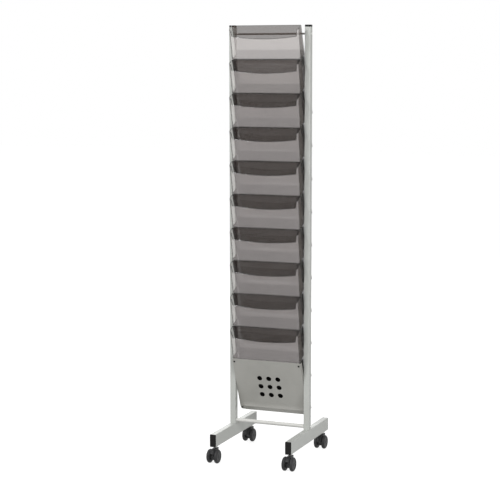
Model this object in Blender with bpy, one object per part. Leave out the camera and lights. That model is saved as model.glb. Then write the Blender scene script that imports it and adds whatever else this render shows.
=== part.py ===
"""Catalog stand on casters: ten leaning pocket trays between two tube posts.

Metres, +Z up, the front at -Y. The origin is on the floor, midway between the posts.
"""

import math

import bmesh
import bpy
from mathutils import Matrix

# Clearances
SEAT_GAP = 0.0003
RUNNING_GAP = 0.0006

# Posts and feet
POST_SIZE = 0.019
POST_WALL = 0.0012
POST_SPACING = 0.252
POST_CAP_HEAD = 0.006
FOOT_WIDTH = 0.020
FOOT_HEIGHT = 0.040
FOOT_WALL = 0.0015
FOOT_LENGTH = 0.342
FOOT_CAP_HEAD = 0.0025
TUBE_CORNER = 0.0018
CAP_PLUG_DEPTH = 0.014
CAP_EDGE = 0.001

# Cross bars and their screws
ROD_DIAMETER = 0.006
ROD_BELOW_TRAY_TOP = 0.0264
RAIL_DIAMETER = 0.012
RAIL_ABOVE_FOOT = 0.0098
BAR_SCREW_SHANK = 0.003
BAR_SCREW_HEAD = 0.0075
BAR_SCREW_HEAD_HEIGHT = 0.0022
BAR_SCREW_BITE = 0.010

# Trays: u runs down the back wall from its top edge, v runs forward from its rear face
TRAY_COUNT = 10
TRAY_PITCH = 0.1052
TRAY_LENGTH = 0.295
TRAY_WALL = 0.002
POCKET_DEPTH = 0.034
NEST_GAP = 0.0019
TRAY_FORWARD = 0.0357
TRAY_BELOW_CAP = 0.001
TRAYS_ABOVE_RAIL = 0.0315
MOUTH_DEPTH = 0.0284
SHOULDER_STEP = 0.0066
SHOULDER_FALL = 0.0015
SHOULDER_GAP = 0.0008
TRAY_SIDE_GAP = 0.0012
HEAD_DRAFT = 0.0011
SIDE_STEP = 0.0004
LOWER_DRAFT = 0.0003
FRONT_CORNER = 0.0045
FLOOR_CHAMFER_LENGTH = 0.020
FLOOR_CHAMFER_DEPTH = 0.010
EAR_WIDTH = 0.0078
EAR_DROP = 0.002
LIP_DROP = 0.0244
LIP_SAG = 0.0075
LIP_SPANS = 8
TAB_WIDTH = 0.005
TAB_HEIGHT = 0.030
TAB_REACH = 0.0025

# Base panel, its brackets and screws
PANEL_SHEET = 0.0012
PANEL_ABOVE_TRAY_END = 0.0017
PANEL_STANDOFF = 0.0043
PANEL_SIDE_GAP = 0.001
PANEL_CORNER = 0.006
STRIP_LENGTH = 0.016
STRIP_BEND = math.radians(15)
HOLE_DIAMETER = 0.017
HOLE_PITCH = 0.031
HOLE_ROWS = 3
BRACKET_SHEET = 0.0012
BRACKET_FLANGE = 0.0125
BRACKET_LEG = 0.011
BRACKET_INSET = 0.003
PANEL_SCREW_SHANK = 0.003
PANEL_SCREW_HEAD = 0.0058
PANEL_SCREW_HEAD_HEIGHT = 0.0018
PANEL_SCREW_TAIL = 0.0008
PANEL_SCREW_INSET = 0.0062
PANEL_SCREW_TOP = 0.010
PANEL_SCREW_STRIP = 0.007

# Casters
WHEEL_DIAMETER = 0.044
WHEEL_WIDTH = 0.011
WHEEL_CROWN = 0.0018
WHEEL_SHOULDER = 0.003
WHEEL_FACE = 0.0022
HOOD_WIDTH = 0.014
HOOD_RISE = 0.0022
HOOD_TOE = 0.013
HOOD_EDGE = 0.0008
STEM_GAP = 0.0065
STEM_DIAMETER = 0.008
STEM_PIN = 0.007
STEM_PIN_DEPTH = 0.015
STEM_COLLAR = 0.013
STEM_COLLAR_HEIGHT = 0.0025
STEM_NUT_HEIGHT = 0.005
STEM_INSET = 0.0228
STEM_BOSS_WALL = 0.0032
CASTER_TRAIL = 0.017
AXLE_DIAMETER = 0.004

# Foot levers of the front casters
BRAKE_WIDTH = 0.009
BRAKE_THICKNESS = 0.0048
BRAKE_PROUD = 0.0012
BRAKE_START = math.radians(98)
BRAKE_END = math.radians(152)
BRAKE_PIVOT = math.radians(106)
BRAKE_PIN = 0.0024
BRAKE_TRAVEL = math.radians(12)

# Flat top of a screw head, as a share of its width
SCREW_CROWN = 0.6

# Facets of round pieces
ROUND_STEPS = 16
WHEEL_STEPS = 24
CORNER_STEPS = 2

# Sizes that follow from those above
SIDES = {"left": -1, "right": 1}
post_x = POST_SPACING / 2
post_inner = post_x - POST_SIZE / 2
post_outer = post_x + POST_SIZE / 2
lower_depth = POCKET_DEPTH + 2 * TRAY_WALL
lean = math.asin((lower_depth + NEST_GAP) / TRAY_PITCH)
shoulder_u = TRAY_PITCH * math.cos(lean) - SHOULDER_GAP
shoulder_top_u = shoulder_u - SHOULDER_FALL
shoulder_depth = lower_depth + SHOULDER_STEP
floor_depth = lower_depth - FLOOR_CHAMFER_DEPTH
head_half = post_inner - TRAY_SIDE_GAP
shoulder_half = head_half - HEAD_DRAFT
lower_half = shoulder_half - SIDE_STEP
floor_half = lower_half - LOWER_DRAFT

wheel_radius = WHEEL_DIAMETER / 2
hood_radius = wheel_radius + HOOD_RISE - HOOD_EDGE
hood_top = WHEEL_DIAMETER + HOOD_RISE
foot_bottom = hood_top + STEM_GAP
foot_top = foot_bottom + FOOT_HEIGHT
rail_z = foot_top + RAIL_ABOVE_FOOT
last_tray_z = (rail_z + TRAYS_ABOVE_RAIL + TRAY_LENGTH * math.cos(lean)
               + floor_depth * math.sin(lean))
first_tray_z = last_tray_z + (TRAY_COUNT - 1) * TRAY_PITCH
rod_z = first_tray_z - ROD_BELOW_TRAY_TOP
post_bottom = foot_top + SEAT_GAP
post_top = first_tray_z + TRAY_BELOW_CAP - POST_CAP_HEAD - SEAT_GAP
stem_y = FOOT_LENGTH / 2 - STEM_INSET

# The panel starts below the last tray's head and ends just above that tray's bottom edge
panel_start_u = TRAY_PITCH * math.cos(lean)
panel_length = TRAY_LENGTH - panel_start_u - STRIP_LENGTH - PANEL_ABOVE_TRAY_END
panel_end = panel_length + STRIP_LENGTH

# The tabs sit on the posts' centre plane, midway through the trays' lower depth
tab_v = lower_depth / 2
tab_u = (TRAY_FORWARD + tab_v * math.cos(lean)) / math.sin(lean)
tab_drop = tab_u * math.cos(lean) + tab_v * math.sin(lean)
panel_half = post_inner - PANEL_SIDE_GAP
panel_screw_x = panel_half - PANEL_SCREW_INSET


def clear_scene():
    for item in list(bpy.data.objects):
        bpy.data.objects.remove(item, do_unlink=True)


def finish(name, color, roughness, metallic=0.0, alpha=1.0):
    """A Principled material; color is linear."""
    material = bpy.data.materials.new(name)
    material.use_nodes = True
    shader = material.node_tree.nodes["Principled BSDF"]
    shader.inputs["Base Color"].default_value = (*color, 1.0)
    shader.inputs["Roughness"].default_value = roughness
    shader.inputs["Metallic"].default_value = metallic
    shader.inputs["Alpha"].default_value = alpha
    material.diffuse_color = (*color, alpha)
    return material


def place(name, mesh, material, location=(0, 0, 0), turn=(0, 0, 0), parent=None):
    item = bpy.data.objects.new(name, mesh)
    item.location = location
    item.rotation_euler = turn
    item.parent = parent
    bpy.context.scene.collection.objects.link(item)
    if material and not mesh.materials:
        mesh.materials.append(material)
    return item


def pivot(name, location, parent=None):
    """An empty on a joint's axis."""
    item = bpy.data.objects.new(name, None)
    item.location = location
    item.parent = parent
    item.empty_display_size = 0.01
    bpy.context.scene.collection.objects.link(item)
    return item


def mesh_of(name, form):
    """Turns a bmesh into a mesh with its faces pointing out, smooth across shallow edges."""
    bmesh.ops.recalc_face_normals(form, faces=form.faces)
    mesh = bpy.data.meshes.new(name)
    form.to_mesh(mesh)
    form.free()
    mesh.shade_smooth()
    mesh.set_sharp_from_angle(angle=math.radians(35))
    return mesh


def loft(rings, cyclic=False):
    """Skins rings of points. A cyclic skin closes on itself, and any other gets end caps."""
    form = bmesh.new()
    loops = [[form.verts.new(point) for point in ring] for ring in rings]
    pairs = list(zip(loops, loops[1:]))
    if cyclic:
        pairs.append((loops[-1], loops[0]))
    else:
        form.faces.new(loops[0])
        form.faces.new(loops[-1])
    count = len(loops[0])
    for lower, upper in pairs:
        for i in range(count):
            j = (i + 1) % count
            form.faces.new((lower[i], lower[j], upper[j], upper[i]))
    return form


def turned(profile, steps=ROUND_STEPS):
    """Turns (radius, z) points about Z; points at radius 0 become poles. A flat facet faces -X."""
    form = bmesh.new()
    rings = []
    for radius, z in profile:
        if radius == 0:
            rings.append([form.verts.new((0, 0, z))])
            continue
        reach = radius / math.cos(math.pi / steps)
        angles = [(i + 0.5) * math.tau / steps for i in range(steps)]
        rings.append([form.verts.new((reach * math.cos(a), reach * math.sin(a), z)) for a in angles])
    for lower, upper in zip(rings, rings[1:]):
        for i in range(steps):
            j = (i + 1) % steps
            below = [lower[i % len(lower)], lower[j % len(lower)]]
            above = [upper[j % len(upper)], upper[i % len(upper)]]
            form.faces.new(dict.fromkeys(below + above))
    return form


def rounded_rectangle(width, depth, radius):
    """Corner points of a rectangle centred on 0, 0 with rounded corners."""
    points = []
    for quarter, (sx, sy) in enumerate(((1, 1), (-1, 1), (-1, -1), (1, -1))):
        for step in range(CORNER_STEPS + 1):
            angle = (quarter + step / CORNER_STEPS) * math.pi / 2
            points.append((sx * (width / 2 - radius) + radius * math.cos(angle),
                           sy * (depth / 2 - radius) + radius * math.sin(angle)))
    return points


def tube(width, depth, wall, low, high):
    """A rectangular tube along Z, open at both ends."""
    outer = rounded_rectangle(width, depth, TUBE_CORNER)
    bore_corner = max(TUBE_CORNER - wall, TUBE_CORNER / 4)
    inner = rounded_rectangle(width - 2 * wall, depth - 2 * wall, bore_corner)
    return loft([[(x, y, z) for x, y in outline]
                 for outline, z in ((outer, low), (outer, high), (inner, high), (inner, low))], cyclic=True)


def plug(width, depth, wall, head):
    """A tube's end cap along Z: its head's underside is at z 0 and its plug fits the tube's bore."""
    inset = 2 * (wall + SEAT_GAP)
    body = rounded_rectangle(width - inset, depth - inset, TUBE_CORNER / 2)
    flange = rounded_rectangle(width, depth, TUBE_CORNER)
    crown = rounded_rectangle(width - 2 * CAP_EDGE, depth - 2 * CAP_EDGE, TUBE_CORNER)
    return loft([[(x, y, z) for x, y in outline]
                 for outline, z in ((body, -CAP_PLUG_DEPTH), (body, 0), (flange, 0),
                                    (flange, head - CAP_EDGE), (crown, head))])


def add_box(form, low, high, matrix=Matrix()):
    size = [b - a for a, b in zip(low, high)]
    middle = [(a + b) / 2 for a, b in zip(low, high)]
    shape = matrix @ Matrix.Translation(middle) @ Matrix.Diagonal((*size, 1))
    bmesh.ops.create_cube(form, size=1.0, matrix=shape)


def add_bore(form, diameter, length, matrix):
    """A cylinder along the matrix's Z, centred on it."""
    radius = diameter / 2
    bmesh.ops.create_cone(form, cap_ends=True, segments=ROUND_STEPS, radius1=radius, radius2=radius,
                          depth=length, matrix=matrix)


def boolean(target, form, operation):
    """Joins or cuts the target with a closed form, given in the target's own frame."""
    tool = place("tool", mesh_of("tool", form), None,
                 target.location, target.rotation_euler, target.parent)
    modifier = target.modifiers.new("combine", "BOOLEAN")
    modifier.operation = operation
    modifier.solver = "EXACT"
    modifier.object = tool
    bpy.context.view_layer.update()
    evaluated = target.evaluated_get(bpy.context.evaluated_depsgraph_get())
    result = bpy.data.meshes.new_from_object(evaluated)
    target.modifiers.clear()
    target.data = result
    result.shade_smooth()
    result.set_sharp_from_angle(angle=math.radians(35))
    bpy.data.objects.remove(tool, do_unlink=True)


def along_x(x, y, z):
    """A matrix whose Z axis runs along X."""
    return Matrix.Translation((x, y, z)) @ Matrix.Rotation(math.pi / 2, 4, "Y")


def tray_frame(index):
    """Where a tray's back-top edge is, counted from the top."""
    return (0, -TRAY_FORWARD, first_tray_z - index * TRAY_PITCH)


def build_posts(paint, plastic):
    for side, sign in SIDES.items():
        form = tube(POST_SIZE, POST_SIZE, POST_WALL, 0, post_top - post_bottom)
        name = f"{side}_post"
        post = place(name, mesh_of(name, form), paint, (sign * post_x, 0, post_bottom))
        cuts = bmesh.new()
        wall_x = -sign * (POST_SIZE / 2 - POST_WALL / 2)
        for index in range(TRAY_COUNT):
            slot_z = tray_frame(index)[2] - tab_drop - post_bottom
            reach = (POST_WALL, TAB_WIDTH / 2 + SEAT_GAP, TAB_HEIGHT / 2 + SEAT_GAP)
            middle = (wall_x, 0, slot_z)
            add_box(cuts, [m - r for m, r in zip(middle, reach)], [m + r for m, r in zip(middle, reach)])
        for bar_z in (rod_z, rail_z):
            axis = along_x(0, 0, bar_z - post_bottom)
            add_bore(cuts, BAR_SCREW_SHANK + 2 * SEAT_GAP, 2 * POST_SIZE, axis)
        boolean(post, cuts, "DIFFERENCE")
        cap = f"{side}_post_cap"
        form = plug(POST_SIZE, POST_SIZE, POST_WALL, POST_CAP_HEAD)
        place(cap, mesh_of(cap, form), plastic, (sign * post_x, 0, post_top + SEAT_GAP))


def build_feet(paint, plastic):
    for side, sign in SIDES.items():
        centre = (sign * post_x, 0, foot_bottom + FOOT_HEIGHT / 2)
        name = f"{side}_foot"
        form = tube(FOOT_WIDTH, FOOT_HEIGHT, FOOT_WALL, -FOOT_LENGTH / 2, FOOT_LENGTH / 2)
        foot = place(name, mesh_of(name, form), paint, centre, (math.pi / 2, 0, 0))
        cuts = bmesh.new()
        for end in (-1, 1):
            wall_middle = Matrix.Translation((0, -FOOT_HEIGHT / 2 + FOOT_WALL / 2, end * stem_y))
            bore = wall_middle @ Matrix.Rotation(math.pi / 2, 4, "X")
            add_bore(cuts, STEM_DIAMETER + 2 * SEAT_GAP, 4 * FOOT_WALL, bore)
        boolean(foot, cuts, "DIFFERENCE")
        for end, facing in (("front", -1), ("rear", 1)):
            cap = f"{side}_foot_{end}_cap"
            form = plug(FOOT_WIDTH, FOOT_HEIGHT, FOOT_WALL, FOOT_CAP_HEAD)
            seat = (centre[0], facing * (FOOT_LENGTH / 2 + SEAT_GAP), centre[2])
            place(cap, mesh_of(cap, form), plastic, seat, (-facing * math.pi / 2, 0, 0))


def build_bar(name, diameter, z, metal):
    """A round bar between the posts, with a threaded hole in each end, and its two screws."""
    half = post_inner - SEAT_GAP
    grip = BAR_SCREW_BITE + 2 * SEAT_GAP
    hole = BAR_SCREW_SHANK / 2 + SEAT_GAP
    radius = diameter / 2
    profile = [(0, grip - half), (hole, grip - half), (hole, -half), (radius, -half),
               (radius, half), (hole, half), (hole, half - grip), (0, half - grip)]
    place(name, mesh_of(name, turned(profile)), metal, (0, 0, z), (0, math.pi / 2, 0))
    shank = BAR_SCREW_SHANK / 2
    head = BAR_SCREW_HEAD / 2
    length = POST_SIZE + 2 * SEAT_GAP + BAR_SCREW_BITE
    screw = [(0, -length), (shank, -length), (shank, 0), (head, 0), (head, BAR_SCREW_HEAD_HEIGHT / 2),
             (head * SCREW_CROWN, BAR_SCREW_HEAD_HEIGHT), (0, BAR_SCREW_HEAD_HEIGHT)]
    for side, sign in SIDES.items():
        screw_name = f"{name}_screw_{side}"
        place(screw_name, mesh_of(screw_name, turned(screw)), metal,
              (sign * (post_outer + SEAT_GAP), 0, z), (0, sign * math.pi / 2, 0))


def tray_section(half, back, front, corner):
    """(x, v) points round a tray at one level: back wall, left corner, front wall, right corner."""
    left = []
    for step in range(CORNER_STEPS + 1):
        angle = step / CORNER_STEPS * math.pi / 2
        left.append((-half + corner * (1 - math.cos(angle)), front - corner * (1 - math.sin(angle))))
    lip = half - EAR_WIDTH
    middle = [(lip * (2 * i / LIP_SPANS - 1), front) for i in range(LIP_SPANS + 1)]
    right = [(-x, v) for x, v in reversed(left)]
    return [(half, back), (-half, back)] + left + middle + right


def head_section(u, inset):
    """A section of the visible head, which deepens from the mouth to the shoulder."""
    share = u / shoulder_top_u
    half = head_half - HEAD_DRAFT * share - inset
    front = MOUTH_DEPTH + (shoulder_depth - MOUTH_DEPTH) * share - inset
    return tray_section(half, inset, front, FRONT_CORNER - inset)


def rim_levels():
    """How far below the back edge each rim point lies: straight sides, ears, and a dipped front lip."""
    ear = [EAR_DROP * (1 + step / CORNER_STEPS) for step in range(CORNER_STEPS + 1)]
    lip = [LIP_DROP + LIP_SAG * (1 - (2 * i / LIP_SPANS - 1) ** 2) for i in range(LIP_SPANS + 1)]
    return [0, 0] + ear + lip + ear[::-1]


def rim_ring(inset):
    return [(head_section(u, inset)[i], u) for i, u in enumerate(rim_levels())]


def flat_ring(section, u):
    return [(point, u) for point in section]


def tray_mesh():
    """One closed shell: up the outside, over the rim and down the inside, with a tab on each side."""
    def wall(inset):
        corner = FRONT_CORNER - inset
        chamfer_u = TRAY_LENGTH - FLOOR_CHAMFER_LENGTH - inset / 2
        levels = [(shoulder_half, shoulder_depth, shoulder_top_u - inset),
                  (lower_half, lower_depth, shoulder_u - inset),
                  (floor_half, lower_depth, chamfer_u),
                  (floor_half, floor_depth, TRAY_LENGTH - inset)]
        return [rim_ring(inset)] + [flat_ring(tray_section(half - inset, inset, front - inset, corner), u)
                                    for half, front, u in levels]

    rings = wall(0)[::-1] + wall(TRAY_WALL)
    form = loft([[(x, -v, -u) for (x, v), u in ring] for ring in rings])
    tray = place("tray", mesh_of("tray", form), None)
    tabs = bmesh.new()
    upright = Matrix.Translation((0, -tab_v, -tab_u)) @ Matrix.Rotation(-lean, 4, "X")
    root = floor_half - TRAY_WALL / 2
    tip = post_inner + POST_WALL + TAB_REACH
    for sign in SIDES.values():
        left, right = sorted((sign * root, sign * tip))
        low = (left, -TAB_WIDTH / 2, -TAB_HEIGHT / 2)
        high = (right, TAB_WIDTH / 2, TAB_HEIGHT / 2)
        add_box(tabs, low, high, upright)
    boolean(tray, tabs, "UNION")
    mesh = tray.data
    bpy.data.objects.remove(tray, do_unlink=True)
    return mesh


def build_trays(plastic):
    mesh = tray_mesh()
    for index in range(TRAY_COUNT):
        place(f"tray_{index + 1:02d}", mesh, plastic, tray_frame(index), (lean, 0, 0))


def panel_origin():
    """Top edge of the base panel's rear face, ahead of the last tray's lower front wall."""
    u = panel_start_u
    v = lower_depth + PANEL_STANDOFF
    return (0, -TRAY_FORWARD + u * math.sin(lean) - v * math.cos(lean),
            last_tray_z - u * math.cos(lean) - v * math.sin(lean))


def panel_point(along, offset):
    """(u, v) at a distance along the panel's rear face, which bends back at its foot."""
    if along < panel_length:
        return (along, offset)
    if along == panel_length:
        return (panel_length + offset * math.tan(STRIP_BEND / 2), offset)
    rest = along - panel_length
    return (panel_length + rest * math.cos(STRIP_BEND) + offset * math.sin(STRIP_BEND),
            -rest * math.sin(STRIP_BEND) + offset * math.cos(STRIP_BEND))


def bent_sheet(stations):
    """A solid in the panel's frame that follows the panel's bend.

    Each station is a distance along the panel and a ring of (x, offset) points.
    """
    rings = []
    for along, ring in stations:
        points = [(x, panel_point(along, offset)) for x, offset in ring]
        rings.append([(x, -v, -u) for x, (u, v) in points])
    return loft(rings)


def panel_normal(along):
    """A matrix, in the panel's frame, whose Z axis points out of its front at a distance along it."""
    bend = STRIP_BEND if along > panel_length else 0.0
    u, v = panel_point(along, PANEL_SHEET)
    return Matrix.Translation((0, -v, -u)) @ Matrix.Rotation(math.pi / 2 + bend, 4, "X")


def panel_screw_places():
    """Each screw's name, side and matrix in the panel's frame."""
    for level, along in (("top", PANEL_SCREW_TOP), ("bottom", panel_length + PANEL_SCREW_STRIP)):
        for side, sign in SIDES.items():
            across_panel = Matrix.Translation((sign * panel_screw_x, 0, 0))
            yield f"panel_screw_{level}_{side}", side, across_panel @ panel_normal(along)


def panel_form():
    """The bent sheet with four rounded corners."""
    rounding = []
    for step in range(CORNER_STEPS + 1):
        angle = step / CORNER_STEPS * math.pi / 2
        rounding.append((PANEL_CORNER * (1 - math.cos(angle)),
                         panel_half - PANEL_CORNER * (1 - math.sin(angle))))
    edges = rounding + [(panel_length, panel_half)]
    edges += [(panel_end - along, half) for along, half in reversed(rounding)]
    return bent_sheet([(along, [(-half, 0), (half, 0), (half, PANEL_SHEET), (-half, PANEL_SHEET)])
                       for along, half in edges])


def build_panel(paint, metal):
    frame = pivot("panel_frame", panel_origin())
    frame.rotation_euler = (lean, 0, 0)
    panel = place("base_panel", mesh_of("base_panel", panel_form()), paint, parent=frame)
    cuts = bmesh.new()
    middle = (HOLE_ROWS - 1) / 2
    for row in range(HOLE_ROWS):
        seat = panel_normal(panel_end / 2 + (row - middle) * HOLE_PITCH)
        for column in range(HOLE_ROWS):
            x = (column - middle) * HOLE_PITCH
            add_bore(cuts, HOLE_DIAMETER, 6 * PANEL_SHEET, Matrix.Translation((x, 0, 0)) @ seat)
    for name, side, matrix in panel_screw_places():
        add_bore(cuts, PANEL_SCREW_SHANK + 2 * SEAT_GAP, 6 * PANEL_SHEET, matrix)
    boolean(panel, cuts, "DIFFERENCE")
    build_brackets(frame, paint)

    grip = 2 * SEAT_GAP + PANEL_SHEET + BRACKET_SHEET + PANEL_SCREW_TAIL
    shank = PANEL_SCREW_SHANK / 2
    head = PANEL_SCREW_HEAD / 2
    screw = [(0, -grip), (shank, -grip), (shank, 0), (head, 0), (head, PANEL_SCREW_HEAD_HEIGHT / 2),
             (head * SCREW_CROWN, PANEL_SCREW_HEAD_HEIGHT), (0, PANEL_SCREW_HEAD_HEIGHT)]
    for name, side, matrix in panel_screw_places():
        seat = matrix @ Matrix.Translation((0, 0, SEAT_GAP))
        place(name, mesh_of(name, turned(screw)), metal, seat.to_translation(), seat.to_euler(), frame)


def build_brackets(frame, paint):
    """Angle strips on the posts' inner faces, with a flange behind the panel for its screws."""
    front = -SEAT_GAP
    back = front - BRACKET_SHEET
    outer = post_inner - SEAT_GAP
    web = outer - BRACKET_SHEET
    angle = [(outer, front), (outer - BRACKET_FLANGE, front), (outer - BRACKET_FLANGE, back),
             (web, back), (web, front - BRACKET_LEG), (outer, front - BRACKET_LEG)]
    ends = (BRACKET_INSET, panel_length, panel_end - BRACKET_INSET)
    for side, sign in SIDES.items():
        name = f"{side}_panel_bracket"
        ring = [(sign * x, offset) for x, offset in angle]
        form = bent_sheet([(along, ring) for along in ends])
        bracket = place(name, mesh_of(name, form), paint, parent=frame)
        cuts = bmesh.new()
        for screw_name, screw_side, matrix in panel_screw_places():
            if screw_side == side:
                add_bore(cuts, PANEL_SCREW_SHANK + 2 * SEAT_GAP, 8 * PANEL_SHEET, matrix)
        boolean(bracket, cuts, "DIFFERENCE")


def hood_point(radius, angle):
    """(y, z) on a circle about the axle, in a caster's frame, with angles from the rear up and over."""
    return (-CASTER_TRAIL + radius * math.cos(angle), wheel_radius + radius * math.sin(angle))


def hood_arc(radius, start, end, steps):
    return [hood_point(radius, start + (end - start) * i / steps) for i in range(steps + 1)]


def across(outline, width):
    """A prism across X, centred on it, from (y, z) points."""
    return loft([[(x, y, z) for y, z in outline] for x in (-width / 2, width / 2)])


def hood_form():
    """The caster's body between its wheels: a web round the axle that rises into the stem's boss."""
    boss = STEM_PIN / 2 + SEAT_GAP + STEM_BOSS_WALL
    waist = hood_top - STEM_PIN_DEPTH - STEM_BOSS_WALL
    outline = [(boss, hood_top), (boss, waist)]
    outline += hood_arc(HOOD_TOE, math.radians(-30), math.radians(-170), 5)
    outline += hood_arc(hood_radius, math.radians(170), math.radians(85), 6)
    outline += [(-boss, hood_top)]
    return across(outline, HOOD_WIDTH)


def brake_mesh(name):
    """A curved foot lever with pins moulded on its sides, about its pivot."""
    outer = hood_radius + BRAKE_PROUD
    inner = outer - BRAKE_THICKNESS
    pin_y, pin_z = hood_point(outer - BRAKE_THICKNESS / 2, BRAKE_PIVOT)
    outline = hood_arc(outer, BRAKE_START, BRAKE_END, 5) + hood_arc(inner, BRAKE_END, BRAKE_START, 5)
    form = across([(y - pin_y, z - pin_z) for y, z in outline], BRAKE_WIDTH)
    lever = place(name, mesh_of(name, form), None)
    pin = bmesh.new()
    add_bore(pin, BRAKE_PIN, HOOD_WIDTH - 2 * SEAT_GAP, along_x(0, 0, 0))
    boolean(lever, pin, "UNION")
    mesh = lever.data
    bpy.data.objects.remove(lever, do_unlink=True)
    return mesh


def brake_recess():
    """The hood's slot under the lever, deep enough at its front for the travel, and the pin's axis."""
    outer = hood_radius + BRAKE_PROUD
    inner = outer - BRAKE_THICKNESS - RUNNING_GAP
    swing = 2 * outer * math.sin((BRAKE_END - BRAKE_PIVOT) / 2) * math.sin(BRAKE_TRAVEL) + RUNNING_GAP
    start = BRAKE_START - math.radians(6)
    end = BRAKE_END + math.radians(30)
    beyond = hood_radius * 1.5
    outline = [hood_point(inner, start), hood_point(inner, BRAKE_PIVOT),
               hood_point(inner - swing, BRAKE_END), hood_point(inner - swing, end)]
    outline += hood_arc(beyond, end, start, 4)
    form = across(outline, BRAKE_WIDTH + 2 * RUNNING_GAP)
    y, z = hood_point(outer - BRAKE_THICKNESS / 2, BRAKE_PIVOT)
    return form, along_x(0, y, z)


def build_caster(name, location, braked, plastic, rubber, metal):
    swivel = pivot(f"{name}_swivel", location)
    pin = STEM_PIN / 2
    shank = STEM_DIAMETER / 2
    collar = STEM_COLLAR / 2
    under = foot_bottom - SEAT_GAP
    above = foot_bottom + FOOT_WALL + SEAT_GAP
    foot_of_pin = hood_top - STEM_PIN_DEPTH
    stem = [(0, foot_of_pin), (pin, foot_of_pin), (pin, under - STEM_COLLAR_HEIGHT),
            (collar, under - STEM_COLLAR_HEIGHT), (collar, under), (shank, under), (shank, above),
            (collar, above), (collar, above + STEM_NUT_HEIGHT), (0, above + STEM_NUT_HEIGHT)]
    place(f"{name}_stem", mesh_of(f"{name}_stem", turned(stem)), metal, parent=swivel)

    hood = place(f"{name}_hood", mesh_of(f"{name}_hood", hood_form()), plastic, parent=swivel)
    bores = bmesh.new()
    depth = STEM_PIN_DEPTH + SEAT_GAP
    add_bore(bores, STEM_PIN + 2 * SEAT_GAP, 2 * depth, Matrix.Translation((0, 0, hood_top)))
    add_bore(bores, AXLE_DIAMETER + 2 * SEAT_GAP, 2 * HOOD_WIDTH, along_x(0, -CASTER_TRAIL, wheel_radius))
    boolean(hood, bores, "DIFFERENCE")
    if braked:
        recess, pin_axis = brake_recess()
        boolean(hood, recess, "DIFFERENCE")
        holes = bmesh.new()
        add_bore(holes, BRAKE_PIN + 2 * SEAT_GAP, 2 * HOOD_WIDTH, pin_axis)
        boolean(hood, holes, "DIFFERENCE")
        lever = f"{name}_brake"
        place(lever, brake_mesh(lever), plastic, pin_axis.to_translation(), parent=swivel)

    inner = HOOD_WIDTH / 2 + RUNNING_GAP
    outer = inner + WHEEL_WIDTH
    tip = outer - WHEEL_FACE
    axle = AXLE_DIAMETER / 2
    hub = axle + SEAT_GAP
    axle_half = tip - SEAT_GAP
    axis = (0, -CASTER_TRAIL, wheel_radius)
    rod = [(0, -axle_half), (axle, -axle_half), (axle, axle_half), (0, axle_half)]
    place(f"{name}_axle", mesh_of(f"{name}_axle", turned(rod)), metal, axis, (0, math.pi / 2, 0), swivel)
    wheel = [(0, tip), (hub, tip), (hub, inner), (wheel_radius - WHEEL_CROWN, inner),
             (wheel_radius, inner + WHEEL_CROWN), (wheel_radius, outer - WHEEL_SHOULDER),
             (wheel_radius - WHEEL_SHOULDER, outer - WHEEL_FACE / 4), (wheel_radius / 3, outer), (0, outer)]
    for side, sign in SIDES.items():
        wheel_name = f"{name}_wheel_{side}"
        place(wheel_name, mesh_of(wheel_name, turned(wheel, WHEEL_STEPS)), rubber,
              axis, (0, sign * math.pi / 2, 0), swivel)


def main():
    clear_scene()
    paint = finish("silver_paint", (0.46, 0.48, 0.44), 0.42, 0.3)
    panel_paint = finish("silver_sheet", (0.33, 0.33, 0.31), 0.45, 0.3)
    chrome = finish("bright_steel", (0.72, 0.72, 0.70), 0.18, 1.0)
    black = finish("black_plastic", (0.025, 0.025, 0.025), 0.5)
    caster_black = finish("caster_plastic", (0.05, 0.05, 0.05), 0.4)
    wheel_black = finish("wheel_plastic", (0.055, 0.055, 0.055), 0.45)
    screw_black = finish("black_screw", (0.02, 0.02, 0.02), 0.35, 0.6)
    zinc = finish("zinc_steel", (0.5, 0.5, 0.48), 0.3, 1.0)
    smoke = finish("smoke_plastic", (0.11, 0.10, 0.095), 0.12, 0.0, 0.5)
    build_posts(paint, black)
    build_feet(paint, black)
    build_bar("top_rod", ROD_DIAMETER, rod_z, chrome)
    build_bar("bottom_rail", RAIL_DIAMETER, rail_z, chrome)
    build_trays(smoke)
    build_panel(panel_paint, screw_black)
    for end, facing in (("front", -1), ("rear", 1)):
        for side, sign in SIDES.items():
            build_caster(f"caster_{end}_{side}", (sign * post_x, facing * stem_y, 0), end == "front",
                         caster_black, wheel_black, zinc)


main()
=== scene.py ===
"""Looks of a catalog stand: smoke pocket trays between silver posts, on twin-wheel casters.

Metres, +Z up, the front at -Y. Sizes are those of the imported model, which stays where it is.
"""

import functools
import logging
import math
from collections.abc import Iterable, Sequence
from dataclasses import dataclass, field, replace
from enum import Enum, IntEnum

import bmesh
import bpy
from mathutils import Matrix, Vector


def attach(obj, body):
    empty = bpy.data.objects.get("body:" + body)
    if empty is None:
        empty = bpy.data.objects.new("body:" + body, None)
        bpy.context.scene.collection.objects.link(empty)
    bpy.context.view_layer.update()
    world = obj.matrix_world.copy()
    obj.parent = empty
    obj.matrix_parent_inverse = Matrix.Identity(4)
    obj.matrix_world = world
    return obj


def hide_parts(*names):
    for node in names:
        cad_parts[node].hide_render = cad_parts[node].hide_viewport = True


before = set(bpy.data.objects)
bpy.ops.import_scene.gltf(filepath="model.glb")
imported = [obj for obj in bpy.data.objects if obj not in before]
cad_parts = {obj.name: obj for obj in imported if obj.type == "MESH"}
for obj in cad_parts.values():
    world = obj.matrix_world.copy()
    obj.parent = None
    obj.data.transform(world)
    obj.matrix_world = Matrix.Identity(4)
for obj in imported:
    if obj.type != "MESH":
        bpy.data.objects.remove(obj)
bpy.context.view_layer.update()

log = logging.getLogger("catalog_stand")

Pair = tuple[float, float]
Point = tuple[float, float, float]
Form = bmesh.types.BMesh
Socket = bpy.types.NodeSocket

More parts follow.
